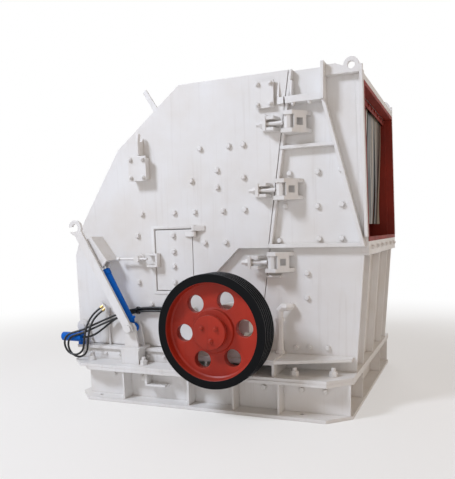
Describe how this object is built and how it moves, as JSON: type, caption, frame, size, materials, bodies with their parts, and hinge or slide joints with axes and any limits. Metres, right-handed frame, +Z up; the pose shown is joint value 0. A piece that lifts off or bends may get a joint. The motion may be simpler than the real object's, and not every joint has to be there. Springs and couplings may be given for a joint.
{
  "type": "impact crusher",
  "caption": "Fixed impact crusher: base frame, plate housing with a swing-open rear half, belt-driven rotor, curtained feed mouth and two opening cylinders.",
  "frame": {"origin": "centre of the outer four anchor holes, on the underside of the base", "axes": "+X towards the feed mouth, -Y towards the belt pulley, +Z up"},
  "size_m": [2.69, 2.548, 2.608],
  "materials": {
    "beige_paint": "satin paint, weathered",
    "red_primer": "matt primer",
    "oxide_red_paint": "semi-gloss paint",
    "machined_steel": "machined",
    "chromed_rod": "hard chrome",
    "cast_steel": "as cast",
    "black_paint": "gloss paint, worn",
    "belting_rubber": "dusty rubber",
    "brass": "turned, dull",
    "hose_rubber": "smooth hose cover",
    "blue_paint": "gloss paint"
  },
  "bodies": {
    "root": {"base_bottom_flange": "beige_paint", "base_top_flange": "beige_paint", "base_side_near": "beige_paint", "base_side_far": "beige_paint", "base_ends": "beige_paint", "lower_flange": "beige_paint", "lower_side_near": "beige_paint", "lower_side_far": "beige_paint", "lower_end_feed": "beige_paint", "lower_end_rear": "beige_paint", "ledge_near": "beige_paint", "ledge_far": "beige_paint", "bearings": "beige_paint", "feed_side_near": "beige_paint", "feed_side_far": "beige_paint", "feed_roof": "beige_paint", "feed_frame": "beige_paint", "feed_chute": "red_primer", "curtain_bar": "beige_paint", "curtain_strip_1": "belting_rubber", "curtain_strip_2": "belting_rubber", "curtain_strip_3": "belting_rubber", "curtain_strip_4": "belting_rubber", "clamp_clevises": "beige_paint", "hinge_brackets": "beige_paint", "foot_brackets": "beige_paint", "drain_pipes": "beige_paint", "accumulator": "blue_paint", "hose_brackets": "beige_paint", "hose_fittings": "brass", "hose_1": "hose_rubber", "hose_2": "hose_rubber", "hose_3": "hose_rubber"},
    "rotor": {"rotor_shaft": "machined_steel", "rotor_discs": "cast_steel", "blow_bars": "cast_steel", "pulley_rim": "black_paint", "pulley_web": "oxide_red_paint", "hub_cap": "machined_steel"},
    "rear_housing": {"rear_side_near": "beige_paint", "rear_side_far": "beige_paint", "rear_roof": "beige_paint", "rear_slope_upper": "beige_paint", "rear_slope_lower": "beige_paint", "rear_back": "beige_paint", "apron_upper": "cast_steel", "apron_lower": "cast_steel", "pivot_plates": "beige_paint", "clamp_anchors": "beige_paint", "clamp_bolts": "machined_steel", "head_brackets": "beige_paint", "rear_fittings": "beige_paint"},
    "door_near": {"door_near": "beige_paint"},
    "door_far": {"door_far": "beige_paint"},
    "barrel_near": {"cylinder_barrel_near": "blue_paint"},
    "barrel_far": {"cylinder_barrel_far": "blue_paint"},
    "rod_near": {"piston_rod_near": "chromed_rod"},
    "rod_far": {"piston_rod_far": "chromed_rod"},
    "strut_near": {"safety_strut_near": "beige_paint"},
    "strut_far": {"safety_strut_far": "beige_paint"}
  },
  "joints": [
    {"name": "rotor_spin", "type": "hinge", "parent": "root", "child": "rotor", "pos_m": [0.305, 0, 0.682], "axis": [0, -1, 0], "continuous": true},
    {"name": "housing_swing", "type": "hinge", "parent": "root", "child": "rear_housing", "pos_m": [-1.205, 0, 0.585], "axis": [0, -1, 0], "range_deg": [0, 45]},
    {"name": "door_near_hinge", "type": "hinge", "parent": "rear_housing", "child": "door_near", "pos_m": [-0.046, -0.866, 1.2], "axis": [0, 0, 1], "range_deg": [0, 80]},
    {"name": "cylinder_near_hinge", "type": "hinge", "parent": "root", "child": "barrel_near", "pos_m": [-0.605, 0, 0.615], "axis": [0, -1, 0], "range_deg": [0, 25.5]},
    {"name": "cylinder_near_slide", "type": "slide", "parent": "barrel_near", "child": "rod_near", "axis": [-0.4628, 0, 0.8864], "range_m": [0, 0.372]},
    {"name": "strut_near_hinge", "type": "hinge", "parent": "root", "child": "strut_near", "pos_m": [-0.605, 0, 0.615], "axis": [0, -1, 0], "range_deg": [0, 35]},
    {"name": "door_far_hinge", "type": "hinge", "parent": "rear_housing", "child": "door_far", "pos_m": [-0.046, 0.866, 1.2], "axis": [0, 0, -1], "range_deg": [0, 80]},
    {"name": "cylinder_far_hinge", "type": "hinge", "parent": "root", "child": "barrel_far", "pos_m": [-0.605, 0, 0.615], "axis": [0, -1, 0], "range_deg": [0, 25.5]},
    {"name": "cylinder_far_slide", "type": "slide", "parent": "barrel_far", "child": "rod_far", "axis": [-0.4628, 0, 0.8864], "range_m": [0, 0.372]},
    {"name": "strut_far_hinge", "type": "hinge", "parent": "root", "child": "strut_far", "pos_m": [-0.605, 0, 0.615], "axis": [0, -1, 0], "range_deg": [0, 35]}
  ],
  "couplings": [
    {"joint": "cylinder_near_hinge", "follows": "housing_swing", "ratio": 0.5644},
    {"joint": "cylinder_near_slide", "follows": "housing_swing", "m_per_rad": 0.4722},
    {"joint": "cylinder_far_hinge", "follows": "housing_swing", "ratio": 0.5644},
    {"joint": "cylinder_far_slide", "follows": "housing_swing", "m_per_rad": 0.4722}
  ]
}
